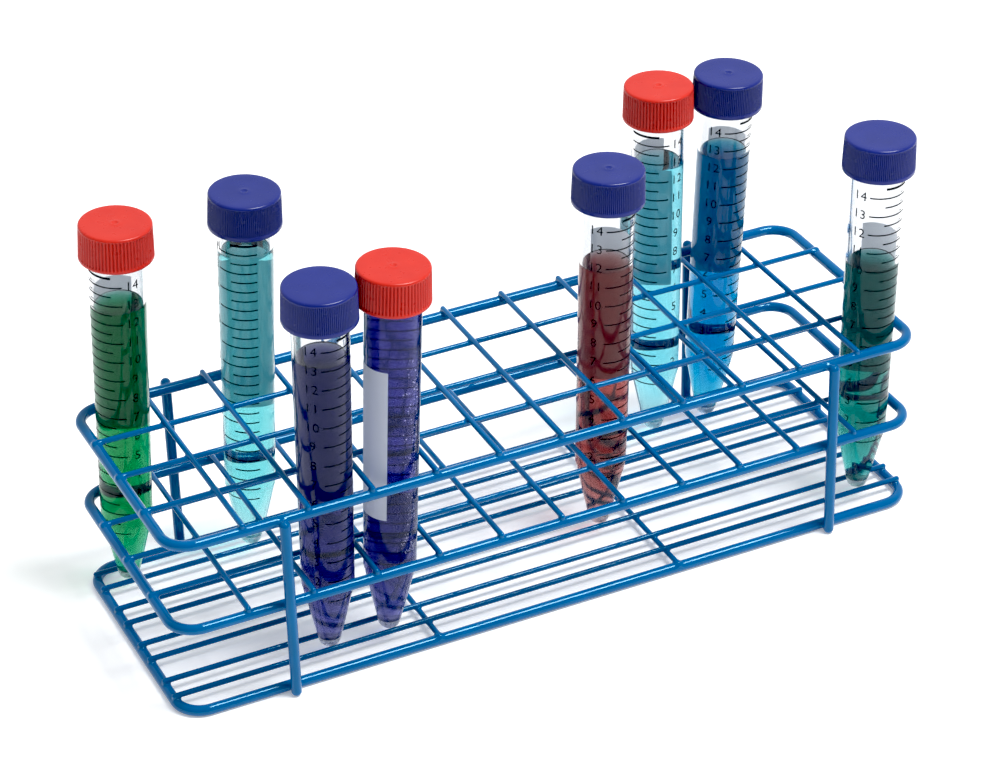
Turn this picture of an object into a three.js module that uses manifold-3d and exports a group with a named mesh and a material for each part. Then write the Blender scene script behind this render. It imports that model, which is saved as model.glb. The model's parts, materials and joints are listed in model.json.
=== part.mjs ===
import * as THREE from 'three';
import { mergeVertices } from 'three/addons/utils/BufferGeometryUtils.js';
import Module from 'manifold-3d';

// A coated-wire test tube rack, four rows of twelve cells, holding eight capped 15 mL conical tubes.
// Millimetres, +Z up. The origin is under the middle of the rack, on the surface it stands on.
// Columns are counted along +X from the left, rows along +Y from the front.

// Cells
const PITCH = 19.8;
const COLUMNS = 12;
const ROWS = 4;

// Coated wires: the thick wire bent into the three frames and cut for the uprights, and the thin grid wire
const RAIL_WIRE = 3.2;
const GRID_WIRE = 1.7;
const RAIL_FLAT = 0.6;
const WIRE_GAP = 0.05;
const BUTT_GAP = 0.1;
const WIRE_SIDES = 8;
const UPRIGHT_SIDES = 12;

// The three frames, measured along the middle of their wire
const FRAME_HALF_LENGTH = 120.2;
const FRAME_HALF_WIDTH = 40.0;
const FRAME_CORNER_RADIUS = 8;
const LEVEL_SPACING = 28.5;

// Uprights, welded to the outside of the frames; each stands where its weld was made
const UPRIGHT_X = {
  upright_front_left: -87.4,
  upright_front_right: 89.6,
  upright_back_left: -90.0,
  upright_back_right: 87.1,
};

// Base grid: a pair of long wires under each row of cells, and two cross wires under those
const TIP_PAIR_SPACING = 8.0;
const TIP_PAIR_SHIFT = 1.1;
const LEFT_CROSS_X = -40.6;
const RIGHT_CROSS_X = 38.8;
const BASE_WIRE_OVERHANG = 0.8;

// The weld where two thin wires are joined
const WELD_RADIUS = 0.6;
const WELD_SIDES = 6;

// Tube: heights are above its tip, radii are outside
const TUBE_HEIGHT = 120.3;
const TUBE_WALL = 1.0;
const TIP_RADIUS = 3.4;
const CONE_TOP_HEIGHT = 23;
const CONE_TOP_RADIUS = 7.75;
const NECK_RADIUS = 8.3;
const TIP_Z = 2.7;
const TUBE_SIDES = 16;
const TIP_STEPS = 3;

// Screw cap with a liner disc inside
const CAP_HEIGHT = 10.9;
const CAP_RADIUS = 10.9;
const CAP_TOP_RADIUS = 10.6;
const CAP_SHOULDER = 1.2;
const CAP_ROOF = 1.4;
const CAP_BORE_RADIUS = 8.9;
const CAP_SIDES = 24;
const LINER_THICKNESS = 0.7;
const LINER_RADIUS = 8.5;
const RESTING_GAP = 0.25;

const RED = 0xd8261c;
const VIOLET = 0x3c4a9a;

// Each tube: its cell, how far its axis stands right and back of the cell's middle at the top grid (mm),
// how far it leans to the right (degrees), and its cap's colour. Its tip lies between its two base wires.
const TUBES = [
  { column: 1, row: 4, right: 0.34, back: -0.66, lean: 2.4, cap: RED },
  { column: 3, row: 4, right: 0.23, back: -0.66, lean: 2.17, cap: VIOLET },
  { column: 3, row: 1, right: -0.45, back: -0.66, lean: 0.8, cap: VIOLET },
  { column: 4, row: 1, right: 0.35, back: -0.47, lean: 2.45, cap: RED },
  { column: 8, row: 2, right: 0.04, back: 0.65, lean: 1.7, cap: VIOLET },
  { column: 10, row: 4, right: -0.64, back: 0.65, lean: 0.44, cap: RED },
  { column: 11, row: 4, right: 0.43, back: -0.48, lean: 2.21, cap: VIOLET },
  { column: 12, row: 1, right: 0.66, back: 0.65, lean: 1.15, cap: VIOLET },
];

// Heights of the wires' middles
const BASE_Z = RAIL_WIRE / 2;
const MIDDLE_Z = BASE_Z + LEVEL_SPACING;
const TOP_Z = MIDDLE_Z + LEVEL_SPACING;
const CROSS_RISE = RAIL_WIRE / 2 + GRID_WIRE / 2 + WIRE_GAP;
const LONG_RISE = CROSS_RISE - GRID_WIRE - WIRE_GAP;
const TOP_GRID_Z = TOP_Z + CROSS_RISE;

const blueCoat = new THREE.MeshStandardMaterial({ color: 0x0a62ab, roughness: 0.28, metalness: 0 });
const clearPlastic = new THREE.MeshStandardMaterial({ color: 0xdfe8ec, roughness: 0.2, metalness: 0 });
const linerFoam = new THREE.MeshStandardMaterial({ color: 0xf2f0ea, roughness: 0.7, metalness: 0 });

const rack = new THREE.Group();
const wasm = await Module();
wasm.setup();

function addMesh(name, geometry, material, parent = rack) {
  const mesh = new THREE.Mesh(geometry, material);
  mesh.name = name;
  parent.add(mesh);
  return mesh;
}

function toSolid(geometry) {
  const bare = geometry.clone();
  bare.deleteAttribute('normal');
  bare.deleteAttribute('uv');
  const merged = mergeVertices(bare);
  return new wasm.Manifold(new wasm.Mesh({
    numProp: 3,
    vertProperties: new Float32Array(merged.attributes.position.array),
    triVerts: new Uint32Array(merged.index.array),
  }));
}

function toGeometry(solid) {
  const mesh = solid.getMesh();
  const geometry = new THREE.BufferGeometry();
  geometry.setAttribute('position', new THREE.BufferAttribute(mesh.vertProperties, 3));
  geometry.setIndex(new THREE.BufferAttribute(mesh.triVerts, 1));
  geometry.computeVertexNormals();
  return geometry;
}

function joined(geometries) {
  const solids = geometries.map(toSolid);
  return toGeometry(solids.reduce((whole, piece) => whole.add(piece)));
}

// A weld from the middle of a long wire to the middle of the cross wire above or below it
function weld(x, y, frameZ) {
  const height = CROSS_RISE - LONG_RISE;
  const bead = new THREE.CylinderGeometry(WELD_RADIUS, WELD_RADIUS, height, WELD_SIDES);
  return bead.rotateX(Math.PI / 2).translate(x, y, frameZ + (CROSS_RISE + LONG_RISE) / 2);
}

function wireAlongX(y, z, halfLength) {
  const wire = new THREE.CylinderGeometry(GRID_WIRE / 2, GRID_WIRE / 2, 2 * halfLength, WIRE_SIDES);
  return wire.rotateZ(Math.PI / 2).translate(0, y, z);
}

function wireAlongY(x, z, halfLength) {
  const wire = new THREE.CylinderGeometry(GRID_WIRE / 2, GRID_WIRE / 2, 2 * halfLength, WIRE_SIDES);
  return wire.translate(x, 0, z);
}

// A rounded rectangle centred on the origin, drawn with four quarter circles
function drawRoundedRectangle(path, halfLength, halfWidth, radius) {
  const x = halfLength - radius;
  const y = halfWidth - radius;
  path.absarc(x, -y, radius, -Math.PI / 2, 0);
  path.absarc(x, y, radius, 0, Math.PI / 2);
  path.absarc(-x, y, radius, Math.PI / 2, Math.PI);
  path.absarc(-x, -y, radius, Math.PI, 1.5 * Math.PI);
  path.closePath();
  return path;
}

// One frame: a closed ring of round wire, with a narrow flat left along its top and its underside
function frameGeometry(z) {
  const half = RAIL_FLAT / 2;
  const bend = (RAIL_WIRE - RAIL_FLAT) / 2;
  const ring = drawRoundedRectangle(new THREE.Shape(),
    FRAME_HALF_LENGTH + half, FRAME_HALF_WIDTH + half, FRAME_CORNER_RADIUS + half);
  ring.holes.push(drawRoundedRectangle(new THREE.Path(),
    FRAME_HALF_LENGTH - half, FRAME_HALF_WIDTH - half, FRAME_CORNER_RADIUS - half));
  const wire = new THREE.ExtrudeGeometry(ring, {
    depth: RAIL_FLAT, curveSegments: 3, bevelThickness: bend, bevelSize: bend, bevelSegments: 2,
  });
  return wire.translate(0, 0, z - half);
}

function addFrames() {
  addMesh('base_frame_loop', frameGeometry(BASE_Z), blueCoat);
  addMesh('middle_frame_loop', frameGeometry(MIDDLE_Z), blueCoat);
  addMesh('top_frame_loop', frameGeometry(TOP_Z), blueCoat);
}

function addUprights() {
  const height = TOP_Z + RAIL_WIRE / 2;
  const offset = FRAME_HALF_WIDTH + RAIL_WIRE + BUTT_GAP;
  for (const [name, x] of Object.entries(UPRIGHT_X)) {
    const wire = new THREE.CylinderGeometry(RAIL_WIRE / 2, RAIL_WIRE / 2, height, UPRIGHT_SIDES);
    const side = name.includes('front') ? -1 : 1;
    addMesh(name, wire.rotateX(Math.PI / 2).translate(x, side * offset, height / 2), blueCoat);
  }
}

// Long wires butt against the inside of the end rails; cross wires lie on them and on the side rails.
// The three long wires and the cross wire in the middle are one welded piece.
function addCellGrid(level, frameZ) {
  const longHalf = FRAME_HALF_LENGTH - RAIL_WIRE / 2 - BUTT_GAP;
  const middlePiece = [];
  for (let row = 1; row < ROWS; row += 1) {
    const y = (row - ROWS / 2) * PITCH;
    middlePiece.push(wireAlongX(y, frameZ + LONG_RISE, longHalf), weld(0, y, frameZ));
  }
  for (let column = 1; column < COLUMNS; column += 1) {
    const x = (column - COLUMNS / 2) * PITCH;
    const cross = wireAlongY(x, frameZ + CROSS_RISE, FRAME_HALF_WIDTH);
    if (x === 0) {
      middlePiece.push(cross);
    } else {
      addMesh(`${level}_cross_wire_${column}`, cross, blueCoat);
    }
  }
  addMesh(`${level}_long_wires`, joined(middlePiece), blueCoat);
}

// The wires on one side of the four pairs, welded to one cross wire that passes under all eight
function addBaseWires(name, side, crossX) {
  const longHalf = FRAME_HALF_LENGTH + BASE_WIRE_OVERHANG;
  const crossHalf = FRAME_HALF_WIDTH - RAIL_WIRE / 2 - BUTT_GAP;
  const wires = [wireAlongY(crossX, BASE_Z + LONG_RISE, crossHalf)];
  for (let row = 0; row < ROWS; row += 1) {
    const y = (row - (ROWS - 1) / 2) * PITCH + TIP_PAIR_SHIFT + side * (TIP_PAIR_SPACING / 2);
    wires.push(wireAlongX(y, BASE_Z + CROSS_RISE, longHalf), weld(crossX, y, BASE_Z));
  }
  addMesh(name, joined(wires), blueCoat);
}

// Turns a profile of [radius, height] pairs about the Z axis
function turned(profile, sides) {
  const points = profile.map(([radius, height]) => new THREE.Vector2(radius, height));
  return new THREE.LatheGeometry(points, sides).rotateX(Math.PI / 2);
}

// The round tip's profile, from the axis up to where the cone leaves it
function tipArc(radius, bottom, coneAngle) {
  const arc = [];
  for (let step = 0; step <= TIP_STEPS; step += 1) {
    const angle = (step / TIP_STEPS) * (Math.PI / 2 - coneAngle);
    arc.push([radius * Math.sin(angle), bottom + radius * (1 - Math.cos(angle))]);
  }
  arc[0][0] = 0;
  return arc;
}

function tubeGeometry() {
  const coneAngle = Math.atan((CONE_TOP_RADIUS - TIP_RADIUS) / (CONE_TOP_HEIGHT - TIP_RADIUS));
  const outside = tipArc(TIP_RADIUS, 0, coneAngle);
  outside.push([CONE_TOP_RADIUS, CONE_TOP_HEIGHT], [NECK_RADIUS, TUBE_HEIGHT]);
  const inside = tipArc(TIP_RADIUS - TUBE_WALL, TUBE_WALL, coneAngle);
  inside.push([CONE_TOP_RADIUS - TUBE_WALL, CONE_TOP_HEIGHT], [NECK_RADIUS - TUBE_WALL, TUBE_HEIGHT]);
  return turned([...outside, ...inside.reverse()], TUBE_SIDES);
}

function linerGeometry() {
  const bottom = TUBE_HEIGHT + RESTING_GAP;
  const top = bottom + LINER_THICKNESS;
  return turned([[0, bottom], [LINER_RADIUS, bottom], [LINER_RADIUS, top], [0, top]], TUBE_SIDES);
}

function capGeometry() {
  const ceiling = TUBE_HEIGHT + 2 * RESTING_GAP + LINER_THICKNESS;
  const top = ceiling + CAP_ROOF;
  const bottom = top - CAP_HEIGHT;
  const cut = CAP_SHOULDER * (1 - Math.SQRT1_2);
  return turned([
    [0, ceiling],
    [CAP_BORE_RADIUS, ceiling],
    [CAP_BORE_RADIUS, bottom],
    [CAP_RADIUS, bottom],
    [CAP_TOP_RADIUS, top - CAP_SHOULDER],
    [CAP_TOP_RADIUS - cut, top - cut],
    [CAP_TOP_RADIUS - CAP_SHOULDER, top],
    [0, top],
  ], CAP_SIDES);
}

// Places one tube with its liner and cap, leaning about the tip that lies between two base wires
function addTube(number, place) {
  const drop = TOP_GRID_Z - TIP_Z;
  const cellX = (place.column - (COLUMNS + 1) / 2) * PITCH;
  const cellY = (place.row - (ROWS + 1) / 2) * PITCH;
  const leanX = Math.tan(THREE.MathUtils.degToRad(place.lean));
  const leanY = (place.back - TIP_PAIR_SHIFT) / drop;
  const group = new THREE.Group();
  group.position.set(cellX + place.right - leanX * drop, cellY + TIP_PAIR_SHIFT, TIP_Z);
  const axis = new THREE.Vector3(leanX, leanY, 1).normalize();
  group.quaternion.setFromUnitVectors(new THREE.Vector3(0, 0, 1), axis);
  rack.add(group);

  const capPlastic = new THREE.MeshStandardMaterial({ color: place.cap, roughness: 0.4, metalness: 0 });
  addMesh(`tube_${number}`, tubeGeometry(), clearPlastic, group);
  addMesh(`cap_liner_${number}`, linerGeometry(), linerFoam, group);
  addMesh(`cap_${number}`, capGeometry(), capPlastic, group);
}

addFrames();
addUprights();
addBaseWires('base_front_wires', -1, LEFT_CROSS_X);
addBaseWires('base_back_wires', 1, RIGHT_CROSS_X);
addCellGrid('middle', MIDDLE_Z);
addCellGrid('top', TOP_Z);
TUBES.forEach((place, index) => addTube(index + 1, place));

export default rack;
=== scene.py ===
"""A blue coated-wire test tube rack with eight capped conical tubes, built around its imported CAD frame.

Blender works in metres. Sizes named here are in millimetres, and MM turns them into metres.
Points are kept in millimetres until make_piece() writes them into a mesh.
"""

import json
import math
import random

import bmesh
import bpy
import numpy as np
from mathutils import Matrix, Vector


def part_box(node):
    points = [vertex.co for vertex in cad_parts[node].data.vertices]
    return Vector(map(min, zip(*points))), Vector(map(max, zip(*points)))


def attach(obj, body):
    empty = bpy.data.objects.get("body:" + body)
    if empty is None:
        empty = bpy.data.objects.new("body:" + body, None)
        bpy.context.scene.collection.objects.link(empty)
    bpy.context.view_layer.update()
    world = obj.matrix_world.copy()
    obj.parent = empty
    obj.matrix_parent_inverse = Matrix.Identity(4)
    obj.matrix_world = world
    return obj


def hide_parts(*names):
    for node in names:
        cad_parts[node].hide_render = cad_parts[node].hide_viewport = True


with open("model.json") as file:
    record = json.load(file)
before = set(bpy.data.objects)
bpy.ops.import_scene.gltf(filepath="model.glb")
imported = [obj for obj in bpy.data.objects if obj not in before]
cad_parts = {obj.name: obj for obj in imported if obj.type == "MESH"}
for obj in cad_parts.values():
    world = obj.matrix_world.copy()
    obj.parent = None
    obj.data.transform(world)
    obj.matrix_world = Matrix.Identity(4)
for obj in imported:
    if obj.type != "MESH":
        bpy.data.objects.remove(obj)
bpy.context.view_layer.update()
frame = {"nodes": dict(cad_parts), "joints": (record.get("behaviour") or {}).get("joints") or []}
joints = {joint["name"]: joint for joint in frame["joints"]}

MM = 0.001

# Camera, in metres
CAMERA_PLACE = Vector((-0.3443, -0.7354, 0.5627))
CAMERA_AIM = Vector((0.0114, 0.0247, 0.0400))
CAMERA_ROLL = math.radians(-1.47)
CAMERA_LENS = 115.5
BLACK_LEVEL = (0.018, 0.015, 0.012)

# Studio, in metres
FLOOR_HALF_SIZE = 6.0
LIGHT_PLACE = (0.4, -0.35, 1.35)
LIGHT_AIM = (0, 0, 0.03)
LIGHT_SIZE = (0.6, 0.4)
LIGHT_POWER = 20
WORLD_BRIGHT_SIDE = (0.42, 0.84, 0.34)

# Rack, beyond what the frame's boxes give
LEVELS = ("base", "middle", "top")
ROWS = 4
COLUMNS = 12
CORNER_RADIUS = 8.0
CORNER_STEPS = 12
LOW_SEAT = 1.2
HIGH_SEAT = 2.3
WIRE_END_PAST_RAIL = 0.35
NEAR_BASE_END = 100
RAIL_SIDES = 28
THIN_SIDES = 20
DOME_STEPS = 4

# Welds: their fillets, their grid, and how far each one reaches round the place where its wires meet
THIN_FILLET = 1.0
THICK_FILLET = 1.5
WELD_STEP = 0.3
WELD_SINK = 0.012
NUDGE = 0.01
LOW_END_REACH = 3.4
CROSSING_REACH = 2.6
HIGH_END_REACH = 3.6
HIGH_WELD_RISE = 1.0
UPRIGHT_REACH = 4.6

# Tube: heights are above its tip, radii are outside
CAP_PIN_HEIGHT = 118.0
TUBE_HEIGHT = 120.3
TUBE_WALL = 1.0
TIP_RADIUS = 3.4
FROSTED_HEIGHT = 3.2
CONE_TOP_HEIGHT = 23.0
CONE_TOP_RADIUS = 7.75
CONE_BEND = 0.4
NECK_RADIUS = 8.3
NECK_BOTTOM = 110.0
TUBE_SIDES = 72

# Screw thread, on the neck and in the cap
THREAD_PITCH = 3.0
THREAD_DEPTH = 0.45
THREAD_START = NECK_BOTTOM + 2
THREAD_LOW = 113.2
THREAD_HIGH = 119.2
THREAD_RUNOUT = 0.8
CAP_THREAD_SHIFT = 0.5

# Liquid: it reaches a little into the wall, and its surface climbs it a little
LIQUID_OVERLAP = 0.35
LIQUID_BOTTOM = 0.65
LIQUID_CLIMB = 0.25
LIQUID_CLIMB_REACH = 1.6

# Print on the tube, in degrees round it from the middle of its numbers
LINE_START = 22.0
HALF_LINE_START = {1: 55.0, -1: 44.0}
LINE_END = 111.0
TOP_LINE = 14.5
PATCH_START = 133.0
PATCH_END = 243.0
PATCH_HEIGHT = 49.8
PATCH_ROWS = 8
PRINT_LIFT = 0.95
LINE_WIDTH = 0.44
BOLD_LINE_WIDTH = 0.75
NUMBER_HEIGHT = 3.0
NUMBER_SLICE = 0.3
INK_THICKNESS = 0.05
INK_DEPTH = 0.03
# Painted light: how strongly the writing patch glows, lightening it most where it is seen through the liquid
PATCH_PAINTED_GLOW = 0.4

# Cap
CAP_HEIGHT = 10.9
CAP_RADIUS = 10.9
CAP_TOP_RADIUS = 10.6
CAP_ROOF = 1.4
CAP_BORE_RADIUS = 8.9
CAP_LIFT = 0.5
CAP_EDGE = 0.3
LINER_THICKNESS = 0.7
LINER_RADIUS = 8.5
CAP_BOTTOM = TUBE_HEIGHT + CAP_LIFT + LINER_THICKNESS + CAP_ROOF - CAP_HEIGHT
CAP_TOP = CAP_BOTTOM + CAP_HEIGHT
CAP_CEILING = CAP_TOP - CAP_ROOF
SHOULDER_STEPS = 7
GROOVE_RUNOUT = 0.5
TOP_DISH = 0.10
TOP_RIM_RADIUS = 9.3
# The middle of the cap's top, as (radius, depth) pairs, with and without the moulding dimple
DIMPLE = ((1.55, 0.08), (1.25, 0.02), (1.0, 0.03), (0.75, 0.22), (0.4, 0.34), (0.0, 0.3))
NO_DIMPLE = ((1.4, 0.1), (0.7, 0.1), (0.0, 0.1))
CAP_STYLES = {
    "red": {"ribs": 65, "samples": 8, "depth": 0.6, "shoulder": 0.75, "lip": 0.9, "sharp": 0.7},
    "violet": {"ribs": 116, "samples": 6, "depth": 0.42, "shoulder": 0.8, "lip": 1.15, "sharp": 0.75},
}
CAP_TURN_PER_TUBE = 0.7

# Each tube: its cap, the height of its liquid, which way its numbers look (degrees from +X), on which side
# of its numbers the lines are (1 is anticlockwise from above), how far its patch is turned from the usual
# place, the height of the patch's lower edge, its liquid, and whether its cap has a moulding dimple
TUBE_FIELDS = ("cap", "level", "turn", "side", "patch", "liquid", "dimple")
TUBES = [dict(zip(TUBE_FIELDS, row)) for row in (
    ("red", 96.7, -79.0, -1, (0, 51.6), "dark_green", True),
    ("violet", 104.3, 161.0, 1, (71, 47.3), "turquoise", True),
    ("violet", 100.4, -135.0, 1, (0, 49), "purple", False),
    ("red", 117.0, -5.6, 1, (0, 43), "purple", True),
    ("violet", 92.0, -141.0, 1, (0, 49.6), "brown_red", True),
    ("red", 97.4, -71.0, -1, (0, 51.2), "cyan", True),
    ("violet", 96.8, -142.0, 1, (0, 50.8), "blue", True),
    ("violet", 81.1, -158.0, 1, (0, 40), "teal", False),
)]

# What white light keeps of each colour after crossing one bore of the liquid, and how cloudy the liquid is
BORE = 14.0
LIQUIDS = {
    "dark_green": {"kept": (0.0015, 0.27, 0.075), "haze": 0.03},
    "turquoise": {"kept": (0.21, 0.73, 0.75), "haze": 0.0},
    "purple": {"kept": (0.038, 0.035, 0.25), "haze": 0.16},
    "brown_red": {"kept": (0.44, 0.080, 0.064), "haze": 0.12},
    "cyan": {"kept": (0.22, 0.71, 0.80), "haze": 0.0},
    "blue": {"kept": (0.0015, 0.21, 0.47), "haze": 0.02},
    "teal": {"kept": (0.004, 0.19, 0.16), "haze": 0.04},
}


# -------------------- mesh helpers


class Shape:
    """Points in millimetres and faces, gathered from several parts."""

    def __init__(self, points=(), faces=()):
        self.points = list(points)
        self.faces = list(faces)

    def add(self, points, faces):
        start = len(self.points)
        self.points.extend(points)
        self.faces.extend([tuple(start + corner for corner in face) for face in faces])


def grid_faces(rows, columns, wrap_columns=True, wrap_rows=False):
    """Quads over a grid of rows x columns points, row after row."""
    faces = []
    for row in range(rows if wrap_rows else rows - 1):
        next_row = (row + 1) % rows
        for column in range(columns if wrap_columns else columns - 1):
            next_column = (column + 1) % columns
            faces.append((
                row * columns + column,
                row * columns + next_column,
                next_row * columns + next_column,
                next_row * columns + column,
            ))
    return faces


def closed_faces(rows, columns):
    """Faces of a closed body: a first point, then rows x columns points, then a last point."""
    last = rows * columns + 1
    faces = [tuple(1 + corner for corner in face) for face in grid_faces(rows, columns)]
    for column in range(columns):
        after = (column + 1) % columns
        faces.append((0, 1 + after, 1 + column))
        faces.append((last, last - columns + column, last - columns + after))
    return faces


def make_piece(name, shape, material, body, place, smooth=True):
    """Writes a shape into an object that rides on a body. Its slot says what it is coloured with."""
    mesh = bpy.data.meshes.new(name)
    points = np.array(shape.points, float) * MM
    mesh.from_pydata(points.tolist(), [], shape.faces)
    mesh.materials.append(material)
    mesh.polygons.foreach_set("use_smooth", [smooth] * len(mesh.polygons))
    if place is not None:
        mesh.transform(place)
    piece = bpy.data.objects.new(name, mesh)
    bpy.context.scene.collection.objects.link(piece)
    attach(piece, body)
    return piece


def box_mm(node):
    """A CAD node's lowest and highest corner, in millimetres."""
    low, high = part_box(node)
    return np.array(low) / MM, np.array(high) / MM


def turned(profile, sides):
    """A closed body of revolution about Z from [radius, height] pairs that start and end on the axis."""
    angles = np.arange(sides) * 2 * math.pi / sides
    points = [(0.0, 0.0, profile[0][1])]
    for radius, height in profile[1:-1]:
        points.extend((radius * math.cos(a), radius * math.sin(a), height) for a in angles)
    points.append((0.0, 0.0, profile[-1][1]))
    return Shape(points, closed_faces(len(profile) - 2, sides))


# -------------------- material helpers


def new_material(name):
    """A material with its node tree, its Principled shader and its output."""
    material = bpy.data.materials.new(name)
    material.use_nodes = True
    tree = material.node_tree
    shader = tree.nodes["Principled BSDF"]
    output = tree.nodes["Material Output"]
    return material, tree, shader, output


def set_inputs(node, values):
    """Sets a node's inputs by their names."""
    for name, value in values.items():
        node.inputs[name].default_value = value


def noise(tree, scale, detail=2.0):
    """A noise texture on object coordinates. scale is in features per metre."""
    place = tree.nodes.new("ShaderNodeTexCoord")
    texture = tree.nodes.new("ShaderNodeTexNoise")
    set_inputs(texture, {"Scale": scale, "Detail": detail})
    tree.links.new(place.outputs["Object"], texture.inputs["Vector"])
    return texture.outputs["Fac"]


def vary_roughness(tree, shader, value, low, high):
    """Makes the shader's roughness follow a noise value, from low to high."""
    node = tree.nodes.new("ShaderNodeMapRange")
    set_inputs(node, {"From Min": 0.3, "From Max": 0.7, "To Min": low, "To Max": high})
    tree.links.new(value, node.inputs["Value"])
    tree.links.new(node.outputs["Result"], shader.inputs["Roughness"])


def vary_colour(tree, shader, value, first, second):
    """Makes the shader's colour follow a noise value, from first to second."""
    blend = tree.nodes.new("ShaderNodeValToRGB")
    low, high = blend.color_ramp.elements
    low.position, high.position = 0.3, 0.7
    low.color, high.color = (*first, 1), (*second, 1)
    tree.links.new(value, blend.inputs["Fac"])
    tree.links.new(blend.outputs["Color"], shader.inputs["Base Color"])


def add_bump(tree, shader, height, distance):
    """Bump of a height value; distance is in millimetres."""
    bump = tree.nodes.new("ShaderNodeBump")
    set_inputs(bump, {"Strength": 1.0, "Distance": distance * MM})
    tree.links.new(height, bump.inputs["Height"])
    tree.links.new(bump.outputs["Normal"], shader.inputs["Normal"])


def let_lamps_through(tree, shader, output, tint):
    """Light passes through the surface with a tint instead of being held up by the clear shader."""
    path = tree.nodes.new("ShaderNodeLightPath")
    clear = tree.nodes.new("ShaderNodeBsdfTransparent")
    clear.inputs["Color"].default_value = (*tint, 1)
    mix = tree.nodes.new("ShaderNodeMixShader")
    tree.links.new(path.outputs["Is Shadow Ray"], mix.inputs["Fac"])
    tree.links.new(shader.outputs["BSDF"], mix.inputs[1])
    tree.links.new(clear.outputs["BSDF"], mix.inputs[2])
    tree.links.new(mix.outputs["Shader"], output.inputs["Surface"])


# -------------------- materials


def coat_material():
    """Glossy blue epoxy coat with bluish reflections, uneven in thickness and with a faint orange peel."""
    material, tree, shader, _ = new_material("blue_epoxy_coat")
    vary_colour(tree, shader, noise(tree, 90), (0.0, 0.096, 0.272), (0.0, 0.112, 0.315))
    vary_roughness(tree, shader, noise(tree, 260), 0.03, 0.07)
    add_bump(tree, shader, noise(tree, 420, 1.0), 0.01)
    shader.inputs["Specular Tint"].default_value = (0.45, 0.85, 1.0, 1)
    return material


def cap_material(name, first, second, roughness):
    """Moulded polyethylene: satin, with a fine mould texture and slightly uneven colour."""
    material, tree, shader, _ = new_material(name)
    vary_colour(tree, shader, noise(tree, 140), first, second)
    low, high = roughness
    vary_roughness(tree, shader, noise(tree, 400, 1.0), low, high)
    add_bump(tree, shader, noise(tree, 700, 1.0), 0.006)
    shader.inputs["Specular IOR Level"].default_value = 0.35
    return material


def tube_material(name, reflection):
    """Clear polypropylene, a little hazy. reflection is the share of its mirror reflection that shows."""
    material, tree, shader, output = new_material(name)
    set_inputs(shader, {
        "Base Color": (0.82, 0.83, 0.845, 1),
        "Transmission Weight": 1.0,
        "IOR": 1.49,
        "Specular Tint": (reflection, reflection, reflection, 1),
    })
    vary_roughness(tree, shader, noise(tree, 180), 0.015, 0.05)
    let_lamps_through(tree, shader, output, (0.95, 0.96, 0.96))
    return material


def frosted_material():
    """The sandblasted tip of the tube."""
    material, tree, shader, output = new_material("frosted_polypropylene")
    set_inputs(shader, {"Base Color": (0.95, 0.97, 0.97, 1), "Transmission Weight": 0.5, "IOR": 1.49})
    vary_roughness(tree, shader, noise(tree, 900), 0.22, 0.4)
    let_lamps_through(tree, shader, output, (0.85, 0.87, 0.87))
    return material


def liquid_material(name, kept, haze):
    """Coloured water: it takes out light along the way through it."""
    material, tree, shader, output = new_material(name + "_liquid")
    set_inputs(shader, {
        "Base Color": (1, 1, 1, 1),
        "Transmission Weight": 1.0,
        "Roughness": haze,
        "IOR": 1.333,
        "Specular Tint": (0, 0, 0, 1),
    })
    taken = [-math.log(share) / (BORE * MM) for share in kept]
    density = 1.02 * max(taken)  # a little over the most that is taken, so that no colour is quite 0
    volume = tree.nodes.new("ShaderNodeVolumeAbsorption")
    set_inputs(volume, {"Color": (*[1 - amount / density for amount in taken], 1), "Density": density})
    tree.links.new(volume.outputs["Volume"], output.inputs["Volume"])
    let_lamps_through(tree, shader, output, (1, 1, 1))
    return material


def ink_material():
    """Black screen print, slightly worn."""
    material, tree, shader, _ = new_material("black_print")
    vary_colour(tree, shader, noise(tree, 900), (0.001, 0.001, 0.001), (0.006, 0.006, 0.006))
    set_inputs(shader, {"Roughness": 0.5, "Specular IOR Level": 0.1})
    return material


def patch_material():
    """White matt ink for writing on. Some of the light behind it comes through, and a painted bluish glow
    lightens it.
    """
    material, tree, shader, output = new_material("white_writing_ink")
    vary_colour(tree, shader, noise(tree, 1500, 3.0), (0.84, 0.88, 0.95), (0.90, 0.93, 0.98))
    set_inputs(shader, {
        "Roughness": 0.7,
        # The emission is painted light: a bluish glow that lightens the patch, which is no lamp
        "Emission Color": (0.80, 0.88, 1.0, 1),
        "Emission Strength": PATCH_PAINTED_GLOW,
    })
    glow = tree.nodes.new("ShaderNodeBsdfTranslucent")
    glow.inputs["Color"].default_value = (0.95, 0.97, 0.99, 1)
    mix = tree.nodes.new("ShaderNodeMixShader")
    mix.inputs["Fac"].default_value = 0.75
    tree.links.new(shader.outputs["BSDF"], mix.inputs[1])
    tree.links.new(glow.outputs["BSDF"], mix.inputs[2])
    tree.links.new(mix.outputs["Shader"], output.inputs["Surface"])
    return material


def liner_material():
    """Soft white liner disc."""
    material, tree, shader, _ = new_material("white_liner")
    vary_colour(tree, shader, noise(tree, 1200, 3.0), (0.78, 0.77, 0.73), (0.86, 0.85, 0.82))
    shader.inputs["Roughness"].default_value = 0.75
    add_bump(tree, shader, noise(tree, 2400, 3.0), 0.02)
    return material


def bubble_material():
    """Air bubbles clinging to the inside of a tube."""
    material, tree, shader, _ = new_material("air_bubbles")
    vary_colour(tree, shader, noise(tree, 800), (0.75, 0.75, 0.85), (0.92, 0.92, 1.0))
    shader.inputs["Roughness"].default_value = 0.1
    return material


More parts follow.
